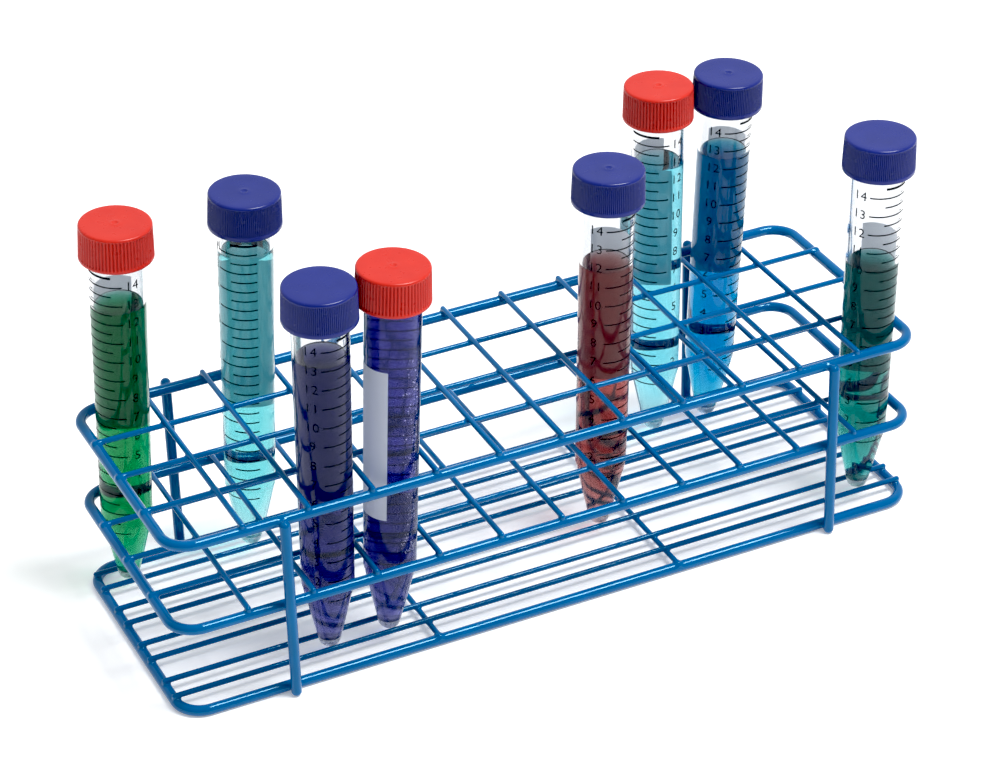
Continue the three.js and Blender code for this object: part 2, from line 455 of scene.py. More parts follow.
COAT = coat_material()
CAPS = {
    "red": cap_material("red_polyethylene", (0.53, 0.020, 0.009), (0.57, 0.025, 0.011), (0.26, 0.36)),
    "violet": cap_material("violet_polyethylene", (0.011, 0.019, 0.17), (0.014, 0.023, 0.195), (0.20, 0.28)),
}
CLEAR = tube_material("clear_polypropylene", 0.55)
BORE_CLEAR = tube_material("clear_polypropylene_bore", 0.12)
FROSTED = frosted_material()
INK = ink_material()
PATCH = patch_material()
LINER = liner_material()
BUBBLE = bubble_material()
LIQUID_MATERIALS = {name: liquid_material(name, **look) for name, look in LIQUIDS.items()}


# -------------------- wires


def wire_rings(route, radii, sides, up, closed):
    """Rings of points along a route, kept at right angles to it."""
    count = len(route)
    rings = []
    angles = np.arange(sides) * 2 * math.pi / sides
    for index in range(count):
        before = route[index - 1] if index > 0 or closed else route[index]
        after = route[(index + 1) % count] if index < count - 1 or closed else route[index]
        along = (after - before) / np.linalg.norm(after - before)
        side = np.cross(along, up)
        side /= np.linalg.norm(side)
        top = np.cross(side, along)
        rings.append([route[index] + radii[index] * (math.cos(a) * side + math.sin(a) * top) for a in angles])
    return rings


def closed_wire(route, radius, sides):
    """A ring of round wire that lies flat."""
    radii = np.broadcast_to(radius, len(route))
    rings = wire_rings(route, radii, sides, np.array((0.0, 0.0, 1.0)), True)
    return Shape([point for ring in rings for point in ring], grid_faces(len(rings), sides, wrap_rows=True))


def open_wire(start, end, radius, sides, up=(0, 0, 1)):
    """A straight round wire whose coated ends are domed; start and end are the domes' outermost points."""
    start, end = np.array(start, float), np.array(end, float)
    along = (end - start) / np.linalg.norm(end - start)
    angles = [math.pi / 2 * step / DOME_STEPS for step in range(1, DOME_STEPS + 1)]
    sizes = [radius * math.sin(a) for a in angles]
    front = [start + radius * (1 - math.cos(a)) * along for a in angles]
    back = [end - radius * (1 - math.cos(a)) * along for a in reversed(angles)]
    rings = wire_rings(front + back, sizes + sizes[::-1], sides, np.array(up, float), False)
    points = [start] + [point for ring in rings for point in ring] + [end]
    return Shape(points, closed_faces(len(rings), sides))


def rail_route(half_length, half_width, z, step=4.0):
    """The middle line of one frame, a rounded rectangle, with points along its straights too."""
    x, y = half_length - CORNER_RADIUS, half_width - CORNER_RADIUS
    corners = [(x, -y, -90), (x, y, 0), (-x, y, 90), (-x, -y, 180)]
    points = []
    for index, (cx, cy, start) in enumerate(corners):
        for part in range(CORNER_STEPS + 1):
            a = math.radians(start + 90 * part / CORNER_STEPS)
            points.append((cx + CORNER_RADIUS * math.cos(a), cy + CORNER_RADIUS * math.sin(a), z))
        nx, ny, next_start = corners[(index + 1) % 4]
        a = math.radians(next_start)
        here = np.array(points[-1])
        there = np.array((nx + CORNER_RADIUS * math.cos(a), ny + CORNER_RADIUS * math.sin(a), z))
        parts = int(np.linalg.norm(there - here) / step)
        points.extend(tuple(here + (there - here) * part / parts) for part in range(1, parts))
    return np.array(points)


# -------------------- welds


def wire_distance(points, line, radius):
    """How far points are outside a round wire along a line of points."""
    best = np.full(points.shape[:-1], np.inf)
    for start, end in zip(line[:-1], line[1:]):
        along = end - start
        share = np.clip(((points - start) @ along) / (along @ along), 0, 1)
        gap = np.linalg.norm(points - start - share[..., None] * along, axis=-1)
        best = np.minimum(best, gap)
    return best - radius


def smooth_union(first, second, fillet):
    """The nearer of two distances, rounded where they are alike."""
    share = np.clip(fillet - np.abs(first - second), 0, None) / fillet
    return np.minimum(first, second) - share * share * fillet / 4


def edge_crossings(values, places, step):
    """For each axis: which edges of the grid the surface crosses, where, and which edges start inside it."""
    crossings = []
    for axis in range(3):
        lower = tuple(slice(0, -1) if i == axis else slice(None) for i in range(3))
        upper = tuple(slice(1, None) if i == axis else slice(None) for i in range(3))
        a, b = values[lower], values[upper]
        crossed = (a < 0) != (b < 0)
        share = np.where(crossed, a / np.where(crossed, a - b, 1), 0)
        point = places[lower].copy()
        point[..., axis] += share * step
        crossings.append((crossed, point, a < 0))
    return crossings


def cell_points(crossings, cells):
    """One point in each cell that the surface passes through, amid its crossings, and the points' numbers."""
    total = np.zeros(cells + (3,))
    hits = np.zeros(cells)
    for axis, (crossed, point, _) in enumerate(crossings):
        others = [i for i in range(3) if i != axis]
        for shift in ((0, 0), (0, 1), (1, 0), (1, 1)):
            pick = [slice(None)] * 3
            for i, offset in zip(others, shift):
                pick[i] = slice(offset, offset + cells[i])
            pick = tuple(pick)
            total += np.where(crossed[pick][..., None], point[pick], 0)
            hits += crossed[pick]
    used = hits > 0
    number = np.full(cells, -1)
    number[used] = np.arange(used.sum())
    return total[used] / hits[used][:, None], number


def net_faces(crossings, number):
    """A face round each crossed edge, between the points of the four cells that share it."""
    faces = []
    for axis, (crossed, _, from_inside) in enumerate(crossings):
        u, v = (axis + 1) % 3, (axis + 2) % 3
        for where in np.argwhere(crossed):
            corners = []
            for du, dv in ((-1, -1), (0, -1), (0, 0), (-1, 0)):
                cell = where.copy()
                cell[u] += du
                cell[v] += dv
                corners.append(int(number[tuple(cell)]))
            faces.append(tuple(corners if from_inside[tuple(where)] else corners[::-1]))
    return faces


def move_onto_surface(points, distance):
    """Points moved down or up the slope of the distance to where it is zero."""
    for _ in range(3):
        ahead = [distance(points + NUDGE * axis) for axis in np.eye(3)]
        behind = [distance(points - NUDGE * axis) for axis in np.eye(3)]
        slope = (np.stack(ahead, -1) - np.stack(behind, -1)) / (2 * NUDGE)
        points = points - (distance(points) / np.maximum((slope ** 2).sum(-1), 0.2))[:, None] * slope
    return points


def surface_net(distance, low, high, step):
    """A closed mesh of the surface where distance is zero."""
    counts = [int(math.ceil((high[i] - low[i]) / step)) + 1 for i in range(3)]
    axes = [low[i] + step * np.arange(counts[i]) for i in range(3)]
    places = np.stack(np.meshgrid(*axes, indexing="ij"), -1)
    crossings = edge_crossings(distance(places), places, step)
    points, number = cell_points(crossings, tuple(count - 1 for count in counts))
    return move_onto_surface(points, distance), net_faces(crossings, number)


def add_weld(shape, centre, wires, reach, fillet=THIN_FILLET):
    """Adds the coat drawn into the corners where wires meet at centre. wires are (line, radius) pairs."""
    centre = np.array(centre, float)
    near = []
    for line, radius in wires:
        close = np.linalg.norm(line - centre, axis=1) < reach + 6
        picked = line[close] if close.sum() > 1 else line
        near.append((picked, radius - WELD_SINK))

    def distance(points):
        value = wire_distance(points, *near[0])
        for line, radius in near[1:]:
            value = smooth_union(value, wire_distance(points, line, radius), fillet)
        return np.maximum(value, np.linalg.norm(points - centre, axis=-1) - reach)

    margin = reach + 2 * WELD_STEP
    points, faces = surface_net(distance, centre - margin, centre + margin, WELD_STEP)
    shape.add(points, faces)


# -------------------- rack


class Rack:
    """The rack's sizes, read off the boxes of its CAD nodes, and the middle lines of its three frames."""

    def __init__(self):
        low, high = box_mm("top_frame_loop")
        self.rail_radius = (high[2] - low[2]) / 2
        self.half_length = high[0] - self.rail_radius
        self.half_width = high[1] - self.rail_radius
        low, high = box_mm("top_cross_wire_1")
        self.thin_radius = (high[2] - low[2]) / 2
        self.pitch = box_mm("top_cross_wire_2")[0][0] - low[0]
        self.past_rail = WIRE_END_PAST_RAIL + self.thin_radius
        self.long_end = self.half_length + self.past_rail
        self.cross_end = self.half_width + self.past_rail
        self.height = {}
        self.rails = {}
        for level in LEVELS:
            low, high = box_mm(level + "_frame_loop")
            self.height[level] = (low[2] + high[2]) / 2
            self.rails[level] = rail_route(self.half_length, self.half_width, self.height[level])

    def rail(self, level):
        """A frame's closed middle line and its radius."""
        route = self.rails[level]
        return np.vstack([route, route[:1]]), self.rail_radius

    def thin_wire(self, start, end):
        """A grid wire from start to end, and its core: the middle line between its domes, and its radius."""
        start, end = np.array(start, float), np.array(end, float)
        inset = self.thin_radius * (end - start) / np.linalg.norm(end - start)
        core = (np.array([start + inset, end - inset]), self.thin_radius)
        return open_wire(start, end, self.thin_radius, THIN_SIDES), core

    def base_rail_x(self, y):
        """How far right the middle of the base frame is at y."""
        route = self.rails["base"]
        right = route[route[:, 0] > 0]
        order = right[np.argsort(right[:, 1])]
        return np.interp(y, order[:, 1], order[:, 0])


def add_coated(name, shape, node=None):
    """A coated piece of the rack, shown instead of a CAD node where one is given."""
    piece = make_piece(name, shape, COAT, "rack", None)
    if node is not None:
        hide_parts(node)


def build_frames(rack):
    """The three rounded rectangles of thick wire."""
    for level in LEVELS:
        wire = closed_wire(rack.rails[level], rack.rail_radius, RAIL_SIDES)
        add_coated(level + "_frame_coated", wire, level + "_frame_loop")


def build_grid(rack, level):
    """The long and cross wires of the middle or the top level, with their welds."""
    rail = rack.rail(level)
    low_z = rack.height[level] + LOW_SEAT
    high_z = rack.height[level] + HIGH_SEAT
    welds = Shape()
    long_shape = Shape()
    long_cores = []
    for row in range(1, ROWS):
        y = (row - ROWS / 2) * rack.pitch
        wire, core = rack.thin_wire((-rack.long_end, y, low_z), (rack.long_end, y, low_z))
        long_shape.add(wire.points, wire.faces)
        long_cores.append((y, core))
        for side in (-1, 1):
            add_weld(welds, (side * rack.half_length, y, low_z), [rail, core], LOW_END_REACH)
    for column in range(1, COLUMNS):
        x = (column - COLUMNS / 2) * rack.pitch
        wire, core = rack.thin_wire((x, -rack.cross_end, high_z), (x, rack.cross_end, high_z))
        if column == COLUMNS // 2:
            long_shape.add(wire.points, wire.faces)
        else:
            node = f"{level}_cross_wire_{column}"
            add_coated(node + "_coated", wire, node)
        for y, long_core in long_cores:
            add_weld(welds, (x, y, (low_z + high_z) / 2), [long_core, core], CROSSING_REACH)
        for side in (-1, 1):
            centre = (x, side * rack.half_width, rack.height[level] + HIGH_WELD_RISE)
            add_weld(welds, centre, [rail, core], HIGH_END_REACH)
    add_coated(level + "_long_wires_coated", long_shape, level + "_long_wires")
    add_coated(level + "_weld_fillets", welds)


def build_base(rack):
    """The four pairs of wires under the tubes' tips, on their two cross wires, with their welds."""
    rail = rack.rail("base")
    low_z = rack.height["base"] + LOW_SEAT
    high_z = rack.height["base"] + HIGH_SEAT
    crosses = {}
    for node in ("base_front_wires", "base_back_wires"):
        x = base_cross_x(node)
        crosses[node] = (x, *rack.thin_wire((x, -rack.cross_end, low_z), (x, rack.cross_end, low_z)))
    welds = Shape()
    for node, (cross_x, cross_wire, cross_core) in crosses.items():
        shape = Shape(cross_wire.points, cross_wire.faces)
        for row in range(ROWS):
            y = (row - (ROWS - 1) / 2) * rack.pitch + base_wire_shift(node)
            rail_x = rack.base_rail_x(y)
            end_x = rail_x + rack.past_rail
            wire, core = rack.thin_wire((-end_x, y, high_z), (end_x, y, high_z))
            shape.add(wire.points, wire.faces)
            for side in (-1, 1):
                centre = (side * rail_x, y, rack.height["base"] + HIGH_WELD_RISE)
                add_weld(welds, centre, [rail, core], HIGH_END_REACH)
            for other_x, _, other_core in crosses.values():
                add_weld(welds, (other_x, y, (low_z + high_z) / 2), [core, other_core], CROSSING_REACH)
        for side in (-1, 1):
            add_weld(welds, (cross_x, side * rack.half_width, low_z), [rail, cross_core], LOW_END_REACH)
        add_coated(node + "_coated", shape, node)
    add_coated("base_weld_fillets", welds)


def base_wire_shift(node):
    """How far the wires of a set of base wires lie behind the middles of their rows."""
    mesh = frame["nodes"][node].data
    ys = [vertex.co.y / MM for vertex in mesh.vertices if abs(vertex.co.x) / MM > NEAR_BASE_END]
    return (min(ys) + max(ys)) / 2


def base_cross_x(node):
    """Where the cross wire of a set of base wires lies."""
    mesh = frame["nodes"][node].data
    low = min(vertex.co.z for vertex in mesh.vertices)
    xs = [vertex.co.x / MM for vertex in mesh.vertices if vertex.co.z < low + 0.1 * MM]
    return (min(xs) + max(xs)) / 2


def build_uprights(rack):
    """The four uprights, welded to the outside of the three frames."""
    welds = Shape()
    for corner in ("front_left", "front_right", "back_left", "back_right"):
        node = "upright_" + corner
        low, high = box_mm(node)
        x, y = (low[0] + high[0]) / 2, (low[1] + high[1]) / 2
        radius = (high[1] - low[1]) / 2
        wire = open_wire((x, y, low[2]), (x, y, high[2]), radius, RAIL_SIDES, up=(1, 0, 0))
        add_coated(node + "_coated", wire, node)
        line = np.array([(x, y, low[2] + radius), (x, y, high[2] - radius)])
        rail_y = math.copysign(rack.half_width, y)
        for level in LEVELS:
            centre = (x, (y + rail_y) / 2, rack.height[level])
            add_weld(welds, centre, [rack.rail(level), (line, radius)], UPRIGHT_REACH, THICK_FILLET)
    add_coated("upright_weld_fillets", welds)


def build_rack():
    """The frames, grids and uprights as smooth coated wire, with filled welds."""
    rack = Rack()
    build_frames(rack)
    for level in ("middle", "top"):
        build_grid(rack, level)
    build_base(rack)
    build_uprights(rack)


# -------------------- tubes


def outside_radius(height):
    """The tube's outside radius at a height above its tip."""
    cone_angle = math.atan((CONE_TOP_RADIUS - TIP_RADIUS) / (CONE_TOP_HEIGHT - TIP_RADIUS))
    tip_top = TIP_RADIUS * (1 - math.sin(cone_angle))
    if height <= tip_top:
        return math.sqrt(max(0.0, TIP_RADIUS ** 2 - (TIP_RADIUS - height) ** 2))
    tip_edge = TIP_RADIUS * math.cos(cone_angle)
    if height <= CONE_TOP_HEIGHT:
        share = (height - tip_top) / (CONE_TOP_HEIGHT - tip_top)
        return tip_edge + share * (CONE_TOP_RADIUS - tip_edge)
    share = (height - CONE_TOP_HEIGHT) / (TUBE_HEIGHT - CONE_TOP_HEIGHT)
    return CONE_TOP_RADIUS + share * (NECK_RADIUS - CONE_TOP_RADIUS)


def inside_radius(height):
    """The tube's inside radius at a height above its tip."""
    inner_tip = TIP_RADIUS - TUBE_WALL
    lifted = height - TUBE_WALL
    if lifted <= 0:
        return 0.0
    if height < CONE_TOP_HEIGHT:
        ball = math.sqrt(max(0.0, inner_tip ** 2 - (inner_tip - min(lifted, inner_tip)) ** 2))
        return min(outside_radius(height) - TUBE_WALL * 1.03, ball + 0.24 * lifted)
    return outside_radius(height) - TUBE_WALL


def height_of_volume(millilitres):
    """How high that much liquid stands in the tube, above the tip."""
    step = 0.05
    height, held = TUBE_WALL, 0.0
    while held < millilitres * 1000:
        held += math.pi * inside_radius(height) ** 2 * step
        height += step
    return height


def ramp(distance, length):
    """0 at a distance of 0 or less, 1 from length on, and even in between."""
    return min(1.0, max(0.0, distance / length))


def thread_wave(height, angle, shift=0.0):
    """A rounded thread ridge: 0 in the groove and 1 on the ridge. angle is in radians and shift in turns."""
    phase = (height - THREAD_START) / THREAD_PITCH - angle / (2 * math.pi) + shift
    return (0.5 + 0.5 * np.cos(2 * math.pi * phase)) ** 3


def tube_shape():
    """The tube: a closed wall with a thread round its neck."""
    bend = [CONE_TOP_HEIGHT - CONE_BEND, CONE_TOP_HEIGHT, CONE_TOP_HEIGHT + CONE_BEND]
    heights = [TIP_RADIUS * (1 - math.cos(math.radians(a))) for a in range(6, 78, 9)]
    heights += list(np.linspace(4.0, CONE_TOP_HEIGHT - 0.8, 8))
    heights += bend
    heights += list(np.linspace(26, NECK_BOTTOM, 14))
    outside = [(outside_radius(h), h) for h in heights]
    neck = [(outside_radius(h), h) for h in np.arange(NECK_BOTTOM + 0.5, TUBE_HEIGHT - 0.4, 0.25)]
    lip_outer, lip_inner = outside_radius(TUBE_HEIGHT), inside_radius(TUBE_HEIGHT)
    lip = [(lip_outer - 0.03, TUBE_HEIGHT - 0.25), (lip_outer - 0.25, TUBE_HEIGHT)]
    lip += [(lip_inner + 0.25, TUBE_HEIGHT), (lip_inner + 0.03, TUBE_HEIGHT - 0.25)]
    inner_heights = list(np.linspace(TUBE_HEIGHT - 1, CONE_TOP_HEIGHT + 1, 16))
    inner_heights += bend[::-1]
    inner_heights += list(np.linspace(CONE_TOP_HEIGHT - 1, 4.2, 8))
    inner_heights += [3.6, 3.0, 2.5, 2.0, 1.6, 1.3, 1.1]
    inside = [(inside_radius(h), h) for h in inner_heights]
    shape = turned([(0.0, 0.0)] + outside + neck + lip + inside + [(0.0, TUBE_WALL)], TUBE_SIDES)
    first = 1 + len(outside) * TUBE_SIDES
    for where in range(first, first + len(neck) * TUBE_SIDES):
        x, y, z = shape.points[where]
        fade = ramp(z - THREAD_LOW, THREAD_RUNOUT) * ramp(THREAD_HIGH - z, THREAD_RUNOUT)
        radius = math.hypot(x, y)
        scale = (radius + THREAD_DEPTH * fade * thread_wave(z, math.atan2(y, x))) / radius
        shape.points[where] = (x * scale, y * scale, z)
    return shape


def liquid_wall_radius(height):
    """The radius of the liquid, which reaches a little into the wall; its lowest end is a blunt cone."""
    if height > 1.4:
        return inside_radius(height) + LIQUID_OVERLAP
    return 0.9 + 1.9 * (height - 0.75)


def liquid_shape(level, up):
    """A filling whose surface lies flat in the world and climbs the wall a little.

    level is its height above the tip, and up is the world's up in the tube.
    """
    bore = inside_radius(level)
    heights = [0.75, 1.0, 1.3, 1.7, 2.2, 2.8, 3.5] + list(np.linspace(4.5, CONE_TOP_HEIGHT - 1, 8))
    heights += [CONE_TOP_HEIGHT - CONE_BEND, CONE_TOP_HEIGHT, CONE_TOP_HEIGHT + CONE_BEND]
    heights += list(np.linspace(CONE_TOP_HEIGHT + 1, level - 2, 12))
    wall = [(liquid_wall_radius(h), h) for h in heights]
    rim = [(bore + LIQUID_OVERLAP / 2, level - 0.4), (bore + 0.05, level + LIQUID_CLIMB)]
    surface = []
    for depth in (0.0, 0.25, 0.6, 1.1, 1.8, 3.0, 5.0):
        surface.append((bore - depth, level + LIQUID_CLIMB * math.exp(-2.2 * depth / LIQUID_CLIMB_REACH)))
    shape = turned([(0.0, LIQUID_BOTTOM)] + wall + rim + surface + [(0.0, level)], TUBE_SIDES)
    first = 1 + (len(wall) + 1) * TUBE_SIDES
    for where in range(first, len(shape.points)):
        x, y, z = shape.points[where]
        shape.points[where] = (x, y, z - (up.x * x + up.y * y) / up.z)
    return shape


def plate_round_tube(shape, start, end, bottom, top, rows=1):
    """Adds ink in the tube's skin between two angles, in degrees, and two heights."""
    columns = max(2, int(abs(end - start) / 5.0) + 1)
    angles = np.radians(np.linspace(start, end, columns))
    heights = np.linspace(bottom, top, rows + 1)
    sheets = []
    for depth in (INK_DEPTH, INK_DEPTH - INK_THICKNESS):
        for h in heights:
            radius = outside_radius(h) - depth
            sheets.append([(radius * math.cos(a), radius * math.sin(a), h) for a in angles])
    inner, outer = sheets[:rows + 1], sheets[rows + 1:]
    loop_rows = inner[::-1] + outer
    points = [point for line in loop_rows for point in line]
    faces = grid_faces(len(loop_rows), columns, wrap_columns=False, wrap_rows=True)
    count = len(loop_rows)
    for column in (0, columns - 1):
        for row in range(rows):
            a, b = row * columns + column, (row + 1) * columns + column
            c, d = (count - 2 - row) * columns + column, (count - 1 - row) * columns + column
            faces.append((a, b, c, d) if column == 0 else (d, c, b, a))
    shape.add(points, faces)


def number_mesh(text):
    """Points and faces of a number as a flat solid, centred, and cut into strips so that it can bend."""
    curve = bpy.data.curves.new("number", "FONT")
    curve.body = text
    curve.align_x, curve.align_y = "CENTER", "CENTER"
    curve.size = NUMBER_HEIGHT / 0.72
    curve.space_character = 1.12
    curve.extrude = INK_THICKNESS / 2
    curve.resolution_u = 3
    holder = bpy.data.objects.new("number", curve)
    bpy.context.scene.collection.objects.link(holder)
    depsgraph = bpy.context.evaluated_depsgraph_get()
    mesh = bpy.data.meshes.new_from_object(holder.evaluated_get(depsgraph))
    joined = bmesh.new()
    joined.from_mesh(mesh)
    bmesh.ops.remove_doubles(joined, verts=joined.verts, dist=0.001)
    for cut in range(-8, 9):
        everything = joined.verts[:] + joined.edges[:] + joined.faces[:]
        place = (cut * NUMBER_SLICE, 0, 0)
        bmesh.ops.bisect_plane(joined, geom=everything, plane_co=place, plane_no=(1, 0, 0))
    joined.to_mesh(mesh)
    joined.free()
    points = [tuple(vertex.co) for vertex in mesh.vertices]
    faces = [tuple(polygon.vertices) for polygon in mesh.polygons]
    bpy.data.objects.remove(holder)
    bpy.data.curves.remove(curve)
    bpy.data.meshes.remove(mesh)
    return points, faces


def graduation_shape(side, numbers):
    """The printed lines, which all end at the same angle on one side of the numbers."""
    shape = Shape()
    for half in range(2, 30):
        volume = half / 2
        whole = half % 2 == 0
        start = LINE_START if whole else HALF_LINE_START[side]
        width = BOLD_LINE_WIDTH if volume == TOP_LINE else LINE_WIDTH
        height = height_of_volume(volume) + PRINT_LIFT
        low, high = height - width / 2, height + width / 2
        plate_round_tube(shape, side * start, side * LINE_END, low, high)
        if whole and volume >= 2:
            points, faces = numbers[int(volume)]
            radius = outside_radius(height)
            wrapped = []
            for x, y, z in points:
                angle = x / radius
                reach = outside_radius(height + y) + INK_THICKNESS / 2 - INK_DEPTH + z
                wrapped.append((reach * math.cos(angle), reach * math.sin(angle), height + y))
            shape.add(wrapped, faces)
    return shape


def patch_shape(side, turn, bottom):
    """The white writing patch on the other side of the tube."""
    shape = Shape()
    start, end = side * PATCH_START + turn, side * PATCH_END + turn
    plate_round_tube(shape, start, end, bottom, bottom + PATCH_HEIGHT, rows=PATCH_ROWS)
    return shape


def bubble_shape(count, low, high, first_angle, last_angle, seed):
    """Small round bubbles on the inside of the wall, more of them low down."""
    chance = random.Random(seed)
    shape = Shape()
    for _ in range(count):
        height = low + (high - low) * chance.random() ** 1.4
        angle = math.radians(first_angle + (last_angle - first_angle) * chance.random() ** 0.6)
        size = 0.10 + 0.16 * chance.random() ** 2
        radius = inside_radius(height) - size * 1.1
        centre = np.array((radius * math.cos(angle), radius * math.sin(angle), height))
        edge = 0.7 * size
        ball = turned([(0, -size), (edge, -edge), (size, 0), (edge, edge), (0, size)], 8)
        shape.add([tuple(centre + np.array(point)) for point in ball.points], ball.faces)
    return shape


# -------------------- caps


def groove_ends(style):
    """The heights between which a cap's grooves run."""
    return CAP_BOTTOM + style["lip"], CAP_TOP - style["shoulder"] * 0.92


def skirt_radius(style, height):
    """A cap's outside radius at a height below its shoulder."""
    share = (height - CAP_BOTTOM) / (CAP_HEIGHT - style["shoulder"])
    return CAP_RADIUS + min(1.0, share) * (CAP_TOP_RADIUS - CAP_RADIUS)


def cap_outside(style, dimple):
    """A cap's outside without its grooves, as (radius, height) pairs from its lower edge to its middle."""
    shoulder = style["shoulder"]
    edge = skirt_radius(style, CAP_BOTTOM)
    groove_low, groove_high = groove_ends(style)
    outline = [(CAP_BORE_RADIUS + 0.35, CAP_BOTTOM + 0.02), (CAP_RADIUS - 0.35, CAP_BOTTOM)]
    outline += [(edge - 0.1, CAP_BOTTOM + 0.1), (edge, CAP_BOTTOM + CAP_EDGE)]
    heights = [CAP_BOTTOM + CAP_EDGE + (style["lip"] - CAP_EDGE) * 0.7]
    heights += list(np.linspace(groove_low, groove_low + GROOVE_RUNOUT, 4))
    heights += list(np.linspace(groove_low + 0.9, groove_high - 0.9, 7))
    heights += list(np.linspace(groove_high - GROOVE_RUNOUT, groove_high, 4))
    outline += [(skirt_radius(style, height), height) for height in heights]
    for part in range(1, SHOULDER_STEPS + 1):
        a = math.radians(90 * part / SHOULDER_STEPS)
        inset, drop = shoulder * (1 - math.cos(a)), shoulder * (1 - math.sin(a))
        outline.append((CAP_TOP_RADIUS - inset, CAP_TOP - drop))
    for radius in (8.0, 6.0, 4.0, 2.5):
        outline.append((radius, CAP_TOP - TOP_DISH * (1 - (radius / TOP_RIM_RADIUS) ** 2)))
    return outline + [(radius, CAP_TOP - depth) for radius, depth in (DIMPLE if dimple else NO_DIMPLE)]


def cap_shape(style, dimple, turn):
    """A ribbed screw cap with a rounded shoulder, a smooth lip, and a thread inside. turn is in radians."""
    columns = style["ribs"] * style["samples"]
    angles = np.arange(columns) * 2 * math.pi / columns + turn
    ridge = np.abs(np.cos(math.pi * (np.arange(columns) / style["samples"] % 1.0))) ** style["sharp"]
    rings = [(radius, CAP_CEILING) for radius in (0.35, 6.0, CAP_BORE_RADIUS - 0.25)]
    rings.append((CAP_BORE_RADIUS, CAP_CEILING - 0.25))
    for height in np.arange(CAP_CEILING - 0.6, CAP_BOTTOM + 0.5, -0.5):
        fade = ramp(CAP_CEILING - 0.5 - height, THREAD_RUNOUT)
        fade *= ramp(height - CAP_BOTTOM - 0.8, THREAD_RUNOUT)
        wave = thread_wave(height, angles, CAP_THREAD_SHIFT)
        rings.append((CAP_BORE_RADIUS - THREAD_DEPTH * fade * wave, height))
    rings.append((CAP_BORE_RADIUS + 0.08, CAP_BOTTOM + 0.25))
    groove_low, groove_high = groove_ends(style)
    *outside, (_, middle_height) = cap_outside(style, dimple)
    for radius, height in outside:
        if groove_low <= height <= groove_high + 1e-6 and radius > CAP_TOP_RADIUS - 0.3:
            fade = ramp(height - groove_low, 0.9 * GROOVE_RUNOUT) * ramp(groove_high - height, GROOVE_RUNOUT)
            radius = radius - style["depth"] * fade * (1 - ridge)
        rings.append((radius, height))
    points = [(0.0, 0.0, CAP_CEILING)]
    for radius, height in rings:
        radii = np.broadcast_to(radius, columns)
        points.extend(zip(radii * np.cos(angles), radii * np.sin(angles), np.full(columns, height)))
    points.append((0.0, 0.0, middle_height))
    return Shape(points, closed_faces(len(rings), columns))


def liner_shape():
    """The liner disc, with rounded edges and the ring that the tube's mouth has pressed into it."""
    bottom = TUBE_HEIGHT + CAP_LIFT / 2
    top = bottom + LINER_THICKNESS
    mouth = inside_radius(TUBE_HEIGHT) + TUBE_WALL / 2
    profile = [(0, bottom), (mouth - 0.8, bottom), (mouth - 0.4, bottom + 0.07), (mouth + 0.2, bottom + 0.07)]
    profile += [(LINER_RADIUS - 0.15, bottom), (LINER_RADIUS, bottom + 0.15)]
    profile += [(LINER_RADIUS, top - 0.15), (LINER_RADIUS - 0.15, top), (0, top)]
    return turned(profile, TUBE_SIDES)


# -------------------- tubes and caps in their places


def tube_place(number, turn):
    """Where a tube stands: its tip, its lean and its turn, read off its cap's joint."""
    joint = joints[f"cap_{number}_turn"]
    axis = Vector(joint["axis"]).normalized()
    tip = Vector(joint["pos_m"]) - axis * CAP_PIN_HEIGHT * MM
    lean = Vector((0, 0, 1)).rotation_difference(axis).to_matrix().to_4x4()
    return Matrix.Translation(tip) @ lean @ Matrix.Rotation(math.radians(turn), 4, "Z")


def build_tube_body(body, place):
    """The clear tube with its frosted tip; its bore has a material of its own."""
    tube = make_piece(body + "_clear_body", tube_shape(), CLEAR, body, place)
    tube.data.materials.append(FROSTED)
    tube.data.materials.append(BORE_CLEAR)
    frosted, bore = 1, 2
    local = place.inverted()
    for polygon in tube.data.polygons:
        centre = local @ polygon.center
        if math.hypot(centre.x, centre.y) < (outside_radius(centre.z / MM) - TUBE_WALL / 2) * MM:
            polygon.material_index = bore
        elif centre.z < FROSTED_HEIGHT * MM:
            polygon.material_index = frosted
    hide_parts(body)


def build_tube(number, spec, numbers):
    """One tube with its liquid, print, cap and liner. Gives back its place."""
    place = tube_place(number, spec["turn"])
    up = place.to_3x3().inverted() @ Vector((0, 0, 1))
    tube = f"tube_{number}"
    build_tube_body(tube, place)

    shape = liquid_shape(spec["level"], up)
    liquid = spec["liquid"]
    make_piece(tube + "_liquid", shape, LIQUID_MATERIALS[liquid], tube, place)

    shape = graduation_shape(spec["side"], numbers)
    make_piece(tube + "_graduations", shape, INK, tube, place, smooth=False)

    shape = patch_shape(spec["side"], *spec["patch"])
    make_piece(tube + "_writing_patch", shape, PATCH, tube, place, smooth=False)

    node, colour = f"cap_{number}", spec["cap"]
    shape = cap_shape(CAP_STYLES[colour], spec["dimple"], CAP_TURN_PER_TUBE * number)
    cap = make_piece(node + "_ribbed", shape, CAPS[colour], node, place)
    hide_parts(node)

    node = f"cap_liner_{number}"
    liner = make_piece(node + "_disc", liner_shape(), LINER, f"liner_{number}", place)
    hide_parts(node)
    return place


def build_tubes():
    """All eight tubes, and the bubbles in tubes 2 and 4."""
    numbers = {value: number_mesh(str(value)) for value in range(2, 15)}
    places = [build_tube(index + 1, spec, numbers) for index, spec in enumerate(TUBES)]
    shape = bubble_shape(230, 30, 96, -87, -40, 4)
    make_piece("tube_4_bubbles", shape, BUBBLE, "tube_4", places[3])
    shape = bubble_shape(60, 12, 45, 40, 170, 2)
    make_piece("tube_2_bubbles", shape, BUBBLE, "tube_2", places[1])


# -------------------- studio


